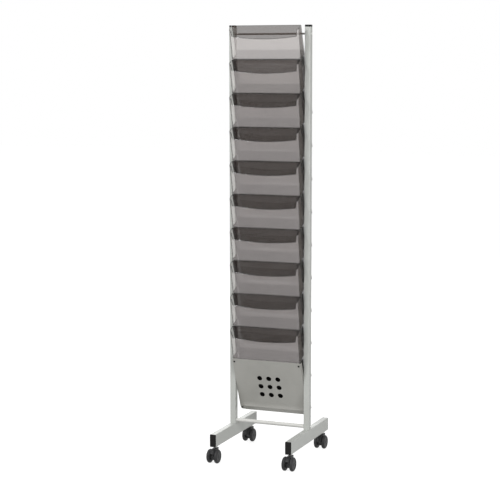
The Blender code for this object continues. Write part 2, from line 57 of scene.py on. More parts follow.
STAND = "stand"
STEM_X, STEM_Y = 0.126, 0.1482  # the casters' stems, from the middle
QUARTER = math.pi / 2
SHARP = math.radians(38)  # edges sharper than this are shaded hard
HARD = math.radians(60)  # edges sharper than this are rounded
ROUND_SHARE = 0.45  # the most of an edge that the rounding of one end takes
MM_PER_M = 1000


class Zone(Enum):
    """Walls of a tray that look different, in the order of its material slots."""

    BACK = 0
    BACK_LOW = 1
    SIDE = 2
    FRONT = 3
    EDGE = 4
    RIM = 5
    LOWER = 6
    TAIL = 7
    FLANK = 8
    BACK_END = 9


class Stage(IntEnum):
    """Where a ring of tray points lies, from the rim down."""

    RIM = 0
    HEAD = 1
    SHOULDER = 2
    WAIST = 3
    BODY = 4
    FLOOR = 5


class Way(Enum):
    """A direction on the stand, with its sign."""

    @property
    def word(self) -> str:
        """The direction's name as the nodes spell it."""
        return self.name.lower()


class Side(Way):
    """The stand's two sides, with their sign along X."""

    LEFT = -1
    RIGHT = 1


class End(Way):
    """The feet's two ends, with their sign along Y."""

    FRONT = -1
    REAR = 1


def linear(code: str) -> tuple[float, float, float, float]:
    """Turns an sRGB hex colour into linear RGBA.

    Args:
        code: A colour such as "#b4b8b0".

    Returns:
        Linear red, green, blue and an alpha of 1.
    """
    shares = [int(code[i:i + 2], 16) / 255 for i in (1, 3, 5)]
    return (*[s / 12.92 if s <= 0.04045 else ((s + 0.055) / 1.055) ** 2.4 for s in shares], 1.0)


def connect(node: bpy.types.Node, inputs: dict) -> None:
    """Sets and links a node's inputs.

    Args:
        node: The node.
        inputs: Values, sockets, or nodes for their first output, by input name or index.
    """
    for key, value in inputs.items():
        if isinstance(value, bpy.types.Node):
            value = value.outputs[0]
        if isinstance(value, Socket):
            node.id_data.links.new(value, node.inputs[key])
        else:
            node.inputs[key].default_value = value


def add_node(tree: bpy.types.NodeTree, kind: str, inputs: dict | None = None,
             **settings: object) -> bpy.types.Node:
    """Adds a node with its settings, values and links.

    Args:
        tree: The node tree.
        kind: The node's type name.
        inputs: What goes into it, as for connect.
        **settings: The node's own properties.

    Returns:
        The new node.
    """
    node = tree.nodes.new(kind)
    for key, value in settings.items():
        setattr(node, key, value)
    connect(node, inputs or {})
    return node


@dataclass(frozen=True)
class Finish:
    """A coated, moulded or plated surface: mottled colour, uneven gloss and a fine relief.

    Pattern sizes are in millimetres. A stretch below 1 draws the pattern out along that axis.
    """

    name: str
    tone: str
    shade: str
    roughness: float
    gloss_spread: float = 0.06
    metallic: float = 0.0
    ior: float = 1.5
    alpha: float = 1.0
    mottle_mm: float = 40.0
    grain_mm: float = 0.9
    relief_mm: float = 0.02
    stretch: Point = (1.0, 1.0, 1.0)
    flakes: float = 0.0

    @functools.cache
    def material(self) -> bpy.types.Material:
        """Builds the finish's material, once.

        Returns:
            A material whose colour, roughness and bump come from Object coordinates.
        """
        material = bpy.data.materials.new(self.name)
        material.use_nodes = True
        tree = material.node_tree
        place = add_node(tree, "ShaderNodeTexCoord").outputs["Object"]
        drawn = add_node(tree, "ShaderNodeMapping", {"Vector": place, "Scale": self.stretch})
        coarse, fine = MM_PER_M / self.mottle_mm, MM_PER_M / self.grain_mm
        mottle = add_node(tree, "ShaderNodeTexNoise",
                          {"Vector": drawn, "Scale": coarse, "Detail": 4.0})
        grain = add_node(tree, "ShaderNodeTexNoise",
                         {"Vector": drawn, "Scale": fine, "Detail": 2.0})
        share = add_node(tree, "ShaderNodeMapRange",
                         {"Value": mottle, "From Min": 0.3, "From Max": 0.7})
        colour = add_node(tree, "ShaderNodeMix",
                          {0: share, 6: linear(self.tone), 7: linear(self.shade)},
                          data_type="RGBA").outputs[2]
        if self.flakes:
            speck = add_node(tree, "ShaderNodeTexVoronoi", {"Vector": drawn, "Scale": fine})
            glint = add_node(tree, "ShaderNodeMapRange",
                             {"Value": speck.outputs["Color"],
                              "To Min": 1 - self.flakes, "To Max": 1 + self.flakes})
            colour = add_node(tree, "ShaderNodeVectorMath", {0: colour, 1: glint},
                              operation="MULTIPLY")
        gloss = add_node(tree, "ShaderNodeMapRange",
                         {"Value": grain, "From Min": 0.25, "From Max": 0.75,
                          "To Min": self.roughness - self.gloss_spread,
                          "To Max": self.roughness + self.gloss_spread})
        bump = add_node(tree, "ShaderNodeBump",
                        {"Height": grain, "Distance": self.relief_mm / MM_PER_M, "Strength": 0.6})
        connect(tree.nodes["Principled BSDF"],
                {"Base Color": colour, "Roughness": gloss, "Normal": bump,
                 "Metallic": self.metallic, "IOR": self.ior, "Alpha": self.alpha})
        return material


@dataclass(frozen=True)
class Smoke(Finish):
    """Moulded smoke polystyrene: tinted, clear and glossy, with a faint flow in its colour."""

    roughness: float = 0.16
    gloss_spread: float = 0.03
    ior: float = 1.59
    mottle_mm: float = 90.0
    grain_mm: float = 1.2
    relief_mm: float = 0.004


# Silver powder coat on steel tube: satin, with glinting metal flakes, drawn coarse so as to show
SILVER_COAT = Finish("silver_powder_coat", "#bcbeba", "#b6b8b4", 0.45, 0.07, metallic=0.15,
                     mottle_mm=60, grain_mm=0.7, relief_mm=0.015, flakes=0.05)
# The same coat on sheet, with a fine orange peel; its darker tone is painted shade, as the sheet
# faces down
SHADED_SHEET_COAT = Finish("silver_sheet_coat", "#abaaa5", "#a5a49f", 0.42, 0.07, metallic=0.15,
                    mottle_mm=45, flakes=0.05)
# Edges of the punched holes: thinly coated, and near black as painted shade in the holes
HOLE_WALL_SHADE = Finish("punched_sheet_edge", "#11110f", "#0c0c0b", 0.6, 0.07, ior=1.15,
                      mottle_mm=4, grain_mm=0.5)
# Zinc plate on the casters' axles: grey and dull
ZINC_PLATE = Finish("zinc_plated_steel", "#c4c6c8", "#b4b4b0", 0.32, 0.08, metallic=1.0,
                    mottle_mm=5, grain_mm=0.5, relief_mm=0.006)
# Black oxide on small screws: deep black, almost without sheen
BLACK_OXIDE = Finish("black_oxide_screw", "#0a0a0b", "#0f0f10", 0.5, 0.08, ior=1.08,
                     mottle_mm=3, grain_mm=0.4, relief_mm=0.01)
# Polyethylene end plugs: matt black with a spark-eroded grain
PLUG_BLACK = Finish("black_polyethylene", "#161615", "#1b1a1a", 0.55, 0.08, ior=1.25,
                    mottle_mm=8, grain_mm=0.6, relief_mm=0.03)
# Nylon caster hoods: charcoal, moulded satin
HOOD_NYLON = Finish("charcoal_nylon", "#353536", "#2d2d2e", 0.45, 0.08, ior=1.3,
                    mottle_mm=12, grain_mm=0.6)
# Nylon wheel treads: the same charcoal, scuffed by the floor
WHEEL_NYLON = Finish("scuffed_nylon_tread", "#39393a", "#2e2e2f", 0.52, 0.1, ior=1.3,
                     mottle_mm=6, grain_mm=0.8, relief_mm=0.03)
# Plated rod that mirrors the dark trays round it
DARK_PLATE = Finish("dull_nickel_rod", "#848280", "#787674", 0.3, metallic=0.7,
                    mottle_mm=15, grain_mm=0.4, relief_mm=0.004, stretch=(0.02, 1.0, 1.0))
# Drawn tube with a satin zinc plate: half matt, so its underside shades off to grey
SATIN_ZINC = Finish("satin_zinc_tube", "#d6d6d2", "#cfcfcb", 0.3,
                    mottle_mm=25, grain_mm=0.5, relief_mm=0.006, stretch=(0.05, 1.0, 1.0))
# White zinc on stems and button heads: pale and half matt
PALE_ZINC = replace(SATIN_ZINC, name="white_zinc_plate", tone="#eeeeea", shade="#e6e6e2",
                    roughness=0.34)

# Back wall of a tray: clear and dark
BACK_WALL = Smoke("smoke_polystyrene", "#544c48", "#4e4743", 0.1, ior=1.45, alpha=0.5)
# Lower part of the back: darker, and passes less light
LOW_BACK_WALL = Smoke("thick_smoke_polystyrene", "#241f1c", "#201b19", 0.1, ior=1.3, alpha=0.75)
# Slim lower part of the front, behind the next tray
LOWER_WALL = Smoke("smoke_polystyrene_lower", "#4a433e", "#443e3a", alpha=0.22)
# Etched front: the fine texture scatters light, so it looks like a pale veil
ETCHED = Smoke("etched_smoke_front", "#f8f1f0", "#f0e9e8", 0.4, 0.06, alpha=0.158)
TRAY = {
    Zone.BACK: BACK_WALL, Zone.BACK_LOW: LOW_BACK_WALL, Zone.FRONT: ETCHED,
    Zone.LOWER: LOWER_WALL, Zone.TAIL: LOWER_WALL,
    # Ends of the back, which hang before the posts: painted shade, as no light comes through from
    # behind
    Zone.BACK_END: Smoke("shaded_smoke_polystyrene", "#383230", "#342e2c", 0.1, ior=1.3,
                         alpha=0.75),
    # Left side: thin and clear
    Zone.SIDE: Smoke("smoke_polystyrene_side", "#98918c", "#918a86", alpha=0.07),
    # Right side, facing the light: a painted sheen, standing for its own gloss that veils what lies
    # behind
    Zone.FLANK: Smoke("smoke_polystyrene_flank", "#8b827c", "#847c77", ior=1.3, alpha=0.26),
    # Corners and rims, where one looks along the wall and it turns dark
    Zone.EDGE: Smoke("smoke_polystyrene_edge", "#332e2b", "#2d2927", ior=1.35, alpha=0.48),
    Zone.RIM: Smoke("smoke_polystyrene_rim", "#2e2a27", "#292523", 0.14, alpha=0.85),
}
# Top tray's back: a warmer lit copy, painted light for the daylight that also reaches it from
# behind
LIT_WALL = replace(BACK_WALL, name="smoke_polystyrene_lit", tone="#50423a", shade="#4a3d36")
# Front of the last tray: a lit copy of the etched front, painted light from the floor
FLOOR_LIT_FRONT = replace(ETCHED, name="etched_smoke_front_low", alpha=0.17)
# Painted light on the top two trays and the last; painted shade on the last one's end behind the
# panel
PAINTED_LIGHT_TRAYS = {
    0: {Zone.BACK: LIT_WALL, Zone.BACK_END: LIT_WALL,
        Zone.BACK_LOW: replace(LOW_BACK_WALL, name="thick_smoke_polystyrene_lit", alpha=0.66),
        Zone.FRONT: replace(ETCHED, name="etched_smoke_front_lit", tone="#fdf7f5", shade="#f6f0ee",
                            alpha=0.225)},
    1: {Zone.BACK: replace(BACK_WALL, name="smoke_polystyrene_half_lit", tone="#605753",
                           shade="#5a514d"),
        Zone.FRONT: replace(ETCHED, name="etched_smoke_front_half_lit", tone="#faf3f1",
                            shade="#f3ecea", alpha=0.155)},
    9: {Zone.FRONT: FLOOR_LIT_FRONT, Zone.LOWER: FLOOR_LIT_FRONT,
        # Painted shade: near black, where no light gets in behind the panel
        Zone.TAIL: Smoke("smoke_polystyrene_shaded", "#0a0909", "#0d0c0c", 0.5, ior=1.08,
                         alpha=0.99)},
}


def mix(start: float, end: float, share: float) -> float:
    """A value part of the way from one to another."""
    return start + (end - start) * share


def quarter(radius: float, steps: int) -> list[Pair]:
    """How far each point of a quarter round lies inside the corner, along and across."""
    turns = [i / steps * QUARTER for i in range(steps + 1)]
    return [(radius * (1 - math.cos(a)), radius * (1 - math.sin(a))) for a in turns]


def mirrored(points: Sequence[Pair]) -> list[Pair]:
    """Points on the other side of the middle, in reverse order."""
    return [(-x, v) for x, v in reversed(points)]


def put(name: str, data: bpy.types.ID) -> bpy.types.Object:
    """Puts a mesh, lamp or camera in the scene.

    Args:
        name: The object's name.
        data: What it shows.

    Returns:
        The new object.
    """
    item = bpy.data.objects.new(name, data)
    bpy.context.scene.collection.objects.link(item)
    return item


def as_mesh(name: str, form: Form) -> bpy.types.Mesh:
    """Turns a form into a mesh whose faces point out.

    Args:
        name: The mesh's name.
        form: The form; freed here.

    Returns:
        The new mesh.
    """
    bmesh.ops.recalc_face_normals(form, faces=form.faces)
    mesh = bpy.data.meshes.new(name)
    form.to_mesh(mesh)
    form.free()
    return mesh


def applied(item: bpy.types.Object) -> bpy.types.Mesh:
    """An object's mesh with its modifiers applied."""
    graph = bpy.context.evaluated_depsgraph_get()
    return bpy.data.meshes.new_from_object(item.evaluated_get(graph))


def keep(name: str, shape: Form | bpy.types.Mesh, finishes: Sequence[Finish], body: str,
         replaced: Iterable[str]) -> None:
    """Puts a finished shape in the scene as a piece of a body.

    Args:
        name: The piece's name.
        shape: Its form or mesh in the stand's frame; a form is freed here.
        finishes: Finishes by material slot; none keeps what the mesh has.
        body: The body it moves with.
        replaced: CAD nodes that it stands for.
    """
    mesh = as_mesh(name, shape) if isinstance(shape, Form) else shape
    mesh.shade_smooth()
    mesh.set_sharp_from_angle(angle=SHARP)
    for finish in finishes:
        mesh.materials.append(finish.material())
    item = put(name, mesh)
    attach(item, body)
    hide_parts(*replaced)
    log.info("%s: %d faces on %s", name, len(mesh.polygons), body)


def dress(nodes: Iterable[str], finish: Finish) -> None:
    """Gives carried-over CAD nodes a finish in their own material slots.

    Args:
        nodes: Node names.
        finish: The finish.
    """
    for name in nodes:
        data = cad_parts[name].data
        if data.materials:
            for index in range(len(data.materials)):
                data.materials[index] = finish.material()
        else:
            data.materials.append(finish.material())
        log.info("%s: %s", name, finish.name)


def skin(form: Form, rings: Sequence[Sequence[Point]]) -> list[list[bmesh.types.BMFace]]:
    """Joins rings of equal length with quads and caps both ends.

    Args:
        form: The form to add to.
        rings: Rings of points.

    Returns:
        The quads of each band, in ring order.
    """
    loops = [[form.verts.new(point) for point in ring] for ring in rings]
    count = len(loops[0])
    bands = []
    for lower, upper in zip(loops, loops[1:]):
        pairs = [(i, (i + 1) % count) for i in range(count)]
        bands.append([form.faces.new((lower[i], lower[j], upper[j], upper[i])) for i, j in pairs])
    form.faces.new(loops[0])
    form.faces.new(loops[-1])
    return bands


def turned(profile: Sequence[Pair], steps: int) -> Form:
    """Turns (radius, z) points about Z, with a pole wherever the radius is 0.

    Args:
        profile: Points from one end to the other.
        steps: Facets round the axis.

    Returns:
        The turned form.
    """
    form = bmesh.new()
    rings = []
    for radius, z in profile:
        turns = [0.0] if radius == 0 else [(i + 0.5) * math.tau / steps for i in range(steps)]
        ring = [(radius * math.cos(a), radius * math.sin(a), z) for a in turns]
        rings.append([form.verts.new(point) for point in ring])
    for lower, upper in zip(rings, rings[1:]):
        for i in range(steps):
            j = (i + 1) % steps
            corners = [lower[i % len(lower)], lower[j % len(lower)],
                       upper[j % len(upper)], upper[i % len(upper)]]
            form.faces.new(dict.fromkeys(corners))
    return form


def block(matrix: Matrix) -> Form:
    """Makes a unit cube under a matrix, as the start of a form.

    Args:
        matrix: Its place and size.

    Returns:
        The new form.
    """
    form = bmesh.new()
    bmesh.ops.create_cube(form, size=1.0, matrix=matrix)
    return form


def rounded_profile(points: Sequence[Pair], radius: float, steps: int) -> list[Pair]:
    """Rounds the inner corners of an open line of points.

    Args:
        points: The line's corners; the two ends stay.
        radius: How far from each corner the rounding starts.
        steps: Points along each rounding, less one.

    Returns:
        The rounded line.
    """
    line = [points[0]]
    for before, corner, after in zip(points, points[1:], points[2:]):
        here = Vector(corner)
        ways = [Vector(far) - here for far in (before, after)]
        start, end = (here + way.normalized() * min(radius, way.length * ROUND_SHARE)
                      for way in ways)
        for i in range(steps + 1):
            t = i / steps
            line.append(tuple(start * (1 - t) ** 2 + here * 2 * t * (1 - t) + end * t ** 2))
    line.append(points[-1])
    return line


def soften(form: Form, width: float, segments: int = 2) -> None:
    """Rounds the hard edges of a closed form.

    Args:
        form: The form to change.
        width: The rounding's width.
        segments: Facets across the rounding.
    """
    bmesh.ops.recalc_face_normals(form, faces=form.faces)
    edges = [e for e in form.edges if len(e.link_faces) == 2 and e.calc_face_angle(0.0) > HARD]
    bmesh.ops.bevel(form, geom=edges, offset=width, segments=segments, profile=0.5,
                    affect="EDGES", clamp_overlap=True)


def carve(form: Form, cutter: Form) -> Form:
    """Cuts one closed form out of another.

    Args:
        form: What is cut; freed here.
        cutter: What is taken away; freed here.

    Returns:
        The result.
    """
    blank, tool = [put("carve", as_mesh("carve", shape)) for shape in (form, cutter)]
    cut = blank.modifiers.new("cut", "BOOLEAN")
    cut.operation = "DIFFERENCE"
    cut.solver = "EXACT"
    cut.object = tool
    result = applied(blank)
    made = bmesh.new()
    made.from_mesh(result)
    for item in (blank, tool):
        bpy.data.objects.remove(item, do_unlink=True)
    bpy.data.meshes.remove(result)
    return made


@dataclass
class TrayRack:
    """The ten leaning trays. u runs down a tray's back wall, v forward from its rear face."""

    count: int = 10
    pitch: float = 0.1052
    length: float = 0.295
    wall: float = 0.002
    forward: float = 0.0357
    first_z: float = 1.364378
    nest_gap: float = 0.0019
    mouth_depth: float = 0.0284
    shoulder_depth: float = 0.0446
    lower_depth: float = 0.038
    floor_depth: float = 0.028
    head_half: float = 0.1153
    shoulder_half: float = 0.1142
    lower_half: float = 0.1138
    floor_half: float = 0.1135
    shoulder_gap: float = 0.0008
    shoulder_margin: float = 0.0015
    shoulder_lead: float = 0.0012
    shoulder_run: float = 0.0039
    shoulder_steps: int = 6
    floor_taper: float = 0.020
    floor_round: float = 0.0012
    front_corner: float = 0.0045
    corner_steps: int = 5
    back_corner: float = 0.0015
    back_steps: int = 3
    back_end: float = 0.0125
    rim_steps: int = 4
    ear_drop: float = 0.002
    ear_nick: float = 0.0006
    ear_foot: float = 0.006
    ear_round: float = 0.003
    ear_steps: int = 4
    lip_drop: float = 0.0244
    lip_sag: float = 0.0075
    lip_inset: float = 0.0078
    lip_spans: int = 26
    tab_width: float = 0.005
    tab_height: float = 0.030
    tab_tip: float = 0.1202
    tab_sunk: float = 0.0004
    tab_round: float = 0.0006
    thick_u: float = 0.081
    thick_end_u: float = 0.125
    lean: float = field(init=False)

    def __post_init__(self) -> None:
        """Works out the lean from the depth of the nested trays."""
        self.lean = math.asin((self.lower_depth + self.nest_gap) / self.pitch)

    @property
    def shoulder_u(self) -> float:
        """Where the shoulder ends, just above the next tray's back edge."""
        return self.pitch * math.cos(self.lean) - self.shoulder_gap

    @property
    def back_points(self) -> int:
        """Points of a section before its left front corner: two back corners and two ends."""
        return 2 * (self.back_steps + 1) + 2

    def ear_line(self) -> list[Pair]:
        """Draws the ear's inner edge.

        Returns:
            (distance from the side, level) points from the corner to the lip.
        """
        tip = (self.front_corner, 2 * self.ear_drop)
        nick = (tip[0] + self.ear_nick, tip[1] + self.ear_nick)
        inner = self.lip_inset + self.ear_foot
        end = (inner, self.lip_level(self.head_half - inner))
        corners = [tip, nick, (self.lip_inset, self.lip_drop), end]
        return rounded_profile(corners, self.ear_round, self.ear_steps)[1:]

    def lip_level(self, x: float) -> float:
        """How far below the back edge the lip lies at a distance from the middle."""
        reach = self.head_half - self.lip_inset
        return self.lip_drop + self.lip_sag * (1 - (x / reach) ** 2)

    def lip_line(self, end: float) -> list[float]:
        """Places along the lip, from one ear's foot to the other's."""
        return [end * (2 * i / self.lip_spans - 1) for i in range(1, self.lip_spans)]

    def section(self, half: float, back: float, front: float, corner: float) -> list[Pair]:
        """Draws a tray's outline at one level.

        Args:
            half: Half its width.
            back: The back wall's v.
            front: The front wall's v.
            corner: The front corners' radius.

        Returns:
            (x, v) points: right back corner, the back's two ends, left back corner, left front
            corner, left ear, lip, right ear, right front corner.
        """
        small = max(self.back_corner - back, self.back_corner / 3)
        right = [(half - x, back + v) for x, v in quarter(small, self.back_steps)]
        left = [(-half + x, front - v) for x, v in quarter(corner, self.corner_steps)]
        ends = [(half - self.back_end, back), (self.back_end - half, back)]
        ear = [(half - d, front) for d, level in reversed(self.ear_line())]
        lip = [(x, front) for x in self.lip_line(ear[0][0])]
        return right + ends + mirrored(right) + left + mirrored(ear) + lip + ear + mirrored(left)

    def levels(self) -> list[float]:
        """Works out the rim's line.

        Returns:
            How far below the back edge each rim point lies, in the order of section.
        """
        corner = [self.ear_drop * (1 + s / self.corner_steps) for s in range(self.corner_steps + 1)]
        ear = [level for d, level in self.ear_line()]
        lip = [self.lip_level(x) for x in self.lip_line(self.head_half - self.ear_line()[-1][0])]
        return [0.0] * self.back_points + corner + ear + lip + ear[::-1] + corner[::-1]

    def head(self, u: float, inset: float) -> list[Pair]:
        """Draws the visible head, which deepens from the mouth to the shoulder.

        Args:
            u: The level.
            inset: 0 for the outside, the wall's thickness for the inside.

        Returns:
            The section's points.
        """
        share = u / (self.shoulder_u - self.shoulder_margin)
        half = mix(self.head_half, self.shoulder_half, share)
        front = mix(self.mouth_depth, self.shoulder_depth, share)
        return self.section(half - inset, inset, front - inset, self.front_corner - inset)

    def ring(self, section: Sequence[Pair], u: float) -> list[Point]:
        """A section's points at a level, in the tray's own frame."""
        return [(x, -v, -u) for x, v in section]

    def wall_rings(self, inset: float) -> list[tuple[list[Point], Stage]]:
        """Draws one face of the wall below the rim.

        Args:
            inset: 0 for the outside, the wall's thickness for the inside.

        Returns:
            Rings from the head to the floor, each with its stage.
        """
        corner = self.front_corner - inset
        rings = [(self.ring(self.head(self.thick_u, inset), self.thick_u), Stage.HEAD)]
        top = self.shoulder_u - self.shoulder_margin - inset - self.shoulder_lead
        for step in range(self.shoulder_steps + 1):
            t = step / self.shoulder_steps
            blend = t * t * (3 - 2 * t)
            half = mix(self.shoulder_half, self.lower_half, blend)
            front = mix(self.shoulder_depth, self.lower_depth, blend)
            section = self.section(half - inset, inset, front - inset, corner)
            rings.append((self.ring(section, top + self.shoulder_run * t), Stage.SHOULDER))
        section = self.section(self.lower_half - inset, inset, self.lower_depth - inset, corner)
        rings.append((self.ring(section, self.thick_end_u), Stage.WAIST))
        end, curl = self.length - inset, self.floor_round
        ends = [(end - self.floor_taper + inset / 2, self.lower_depth, 0.0, Stage.BODY),
                (end - curl, self.floor_depth + curl / 2, 0.0, Stage.FLOOR),
                (end - curl / 3, self.floor_depth, curl / 3, Stage.FLOOR),
                (end, self.floor_depth, curl, Stage.FLOOR)]
        for u, front, pull, stage in ends:
            inner = inset + pull
            section = self.section(self.floor_half - inner, inner, front - inner, corner)
            rings.append((self.ring(section, u), stage))
        return rings

    def rim_rings(self) -> list[list[Point]]:
        """Draws the rounded rim.

        Returns:
            Rings over the rim, from the outside to the inside.
        """
        levels = self.levels()
        rings = []
        for step in range(self.rim_steps + 1):
            a = step / self.rim_steps * math.pi
            inset = self.wall / 2 * (1 - math.cos(a))
            sink = self.wall / 2 * (1 - math.sin(a))
            ring = []
            for i, level in enumerate(levels):
                x, v = self.head(level + sink, inset)[i]
                ring.append((x, -v, -(level + sink)))
            rings.append(ring)
        return rings

    def zone(self, i: int, count: int, upper: Stage, lower: Stage) -> Zone:
        """Chooses the look of one quad of the wall.

        Args:
            i: The quad's place round the tray, in the order of section.
            count: Quads in the ring.
            upper: The stage of its ring nearer the rim.
            lower: The stage of its other ring.

        Returns:
            The quad's zone.
        """
        if lower is Stage.RIM or upper is Stage.FLOOR:
            return Zone.RIM
        middle = self.back_steps + 1
        if abs(i - middle) <= 1:
            if upper in (Stage.HEAD, Stage.SHOULDER):
                return Zone.BACK_LOW
            # In the head, the back's ends take the painted shade
            return Zone.BACK if i == middle or upper is not Stage.RIM else Zone.BACK_END
        if i < self.back_points - 1:
            return Zone.RIM if lower is Stage.FLOOR or lower <= Stage.SHOULDER else Zone.EDGE
        left = i < count / 2
        from_side = min(i - self.back_points, count - 2 - i)
        if from_side < 0:
            # Floor and side shoulder ledge: dark rim finish; on the ledge it is painted shade under
            # the step
            if lower is Stage.FLOOR or upper is Stage.SHOULDER:
                return Zone.RIM
            if upper > Stage.SHOULDER:
                return Zone.BACK
            # The right side takes the painted sheen
            return Zone.SIDE if left else Zone.FLANK
        if from_side < (self.corner_steps if left else 1):
            return Zone.EDGE
        if upper >= Stage.WAIST:
            return Zone.TAIL
        return Zone.LOWER if lower > Stage.SHOULDER else Zone.FRONT

    def tray(self, index: int) -> None:
        """Builds one tray in place of its node.

        Args:
            index: The tray's place, counted from 0 at the top.
        """
        form = bmesh.new()
        outer, inner = self.wall_rings(0.0), self.wall_rings(self.wall)
        rings = outer[::-1] + [(ring, Stage.RIM) for ring in self.rim_rings()] + inner
        for b, band in enumerate(skin(form, [ring for ring, stage in rings])):
            upper, lower = sorted((rings[b][1], rings[b + 1][1]))
            for i, face in enumerate(band):
                face.material_index = self.zone(i, len(band), upper, lower).value
        for face in form.faces:
            if len(face.verts) > 4:
                face.material_index = Zone.RIM.value
        self.add_tabs(form)
        place = Matrix.Translation((0, -self.forward, self.first_z - index * self.pitch))
        form.transform(place @ Matrix.Rotation(self.lean, 4, "X"))
        looks = {**TRAY, **PAINTED_LIGHT_TRAYS.get(index, {})}
        node = f"tray_{index + 1:02d}"
        keep(f"smoke_{node}", form, [looks[z] for z in Zone], STAND, [node])

    def add_tabs(self, form: Form) -> None:
        """Adds the moulded tabs that reach into the posts' slots.

        Args:
            form: The tray, in its own frame.
        """
        v = self.lower_depth / 2
        u = (self.forward + v * math.cos(self.lean)) / math.sin(self.lean)
        upright = Matrix.Translation((0, -v, -u)) @ Matrix.Rotation(-self.lean, 4, "X")
        root = self.lower_half - self.tab_sunk
        size = Matrix.Diagonal((self.tab_tip - root, self.tab_width, self.tab_height, 1))
        for side in Side:
            middle = side.value * (root + self.tab_tip) / 2
            tab = block(upright @ Matrix.Translation((middle, 0, 0)) @ size)
            soften(tab, self.tab_round)
            for face in tab.faces:
                face.material_index = Zone.RIM.value
            part = as_mesh("tab", tab)
            form.from_mesh(part)
            bpy.data.meshes.remove(part)

    def build(self) -> None:
        """Builds all trays."""
        for index in range(self.count):
            self.tray(index)


class NodeTree:
    """A Geometry Nodes tree with named inputs, run once on a mesh."""

    def __init__(self, name: str) -> None:
        """Starts a tree that takes and gives a geometry.

        Args:
            name: The tree's name.
        """
        self.tree = bpy.data.node_groups.new(name, "GeometryNodeTree")
        for way in ("INPUT", "OUTPUT"):
            self.tree.interface.new_socket("Geometry", in_out=way, socket_type="NodeSocketGeometry")
        self.start = self.tree.nodes.new("NodeGroupInput")
        self.values: dict[str, object] = {}

    def number(self, name: str, kind: str, value: object) -> Socket:
        """Adds a named input.

        Args:
            name: The input's name.
            kind: Its socket type without the common prefix, such as "Float".
            value: What it is set to.

        Returns:
            The socket that carries it inside the tree.
        """
        socket = self.tree.interface.new_socket(name, in_out="INPUT",
                                                socket_type=f"NodeSocket{kind}")
        self.values[socket.identifier] = value
        return self.start.outputs[name]

    def finish(self, geometry: bpy.types.Node, material: Socket) -> None:
        """Ends the tree with real geometry and its material.

        Args:
            geometry: The node that gives the last geometry.
            material: The material's input socket.
        """
        real = add_node(self.tree, "GeometryNodeRealizeInstances", {0: geometry})
        dressed = add_node(self.tree, "GeometryNodeSetMaterial",
                           {"Geometry": real, "Material": material})
        add_node(self.tree, "NodeGroupOutput", {0: dressed})

    def run(self, name: str, mesh: bpy.types.Mesh) -> bpy.types.Mesh:
        """Runs the tree on a mesh.

        Args:
            name: The new mesh's name.
            mesh: What goes in.

        Returns:
            The result as a plain mesh.
        """
        carrier = put("carrier", mesh)
        modifier = carrier.modifiers.new("nodes", "NODES")
        modifier.node_group = self.tree
        for identifier, value in self.values.items():
            modifier[identifier] = value
        result = applied(carrier)
        result.name = name
        if result.materials and result.materials[0] is None:
            result.materials.pop(index=0)
        carrier.modifiers.remove(modifier)
        bpy.data.objects.remove(carrier, do_unlink=True)
        return result


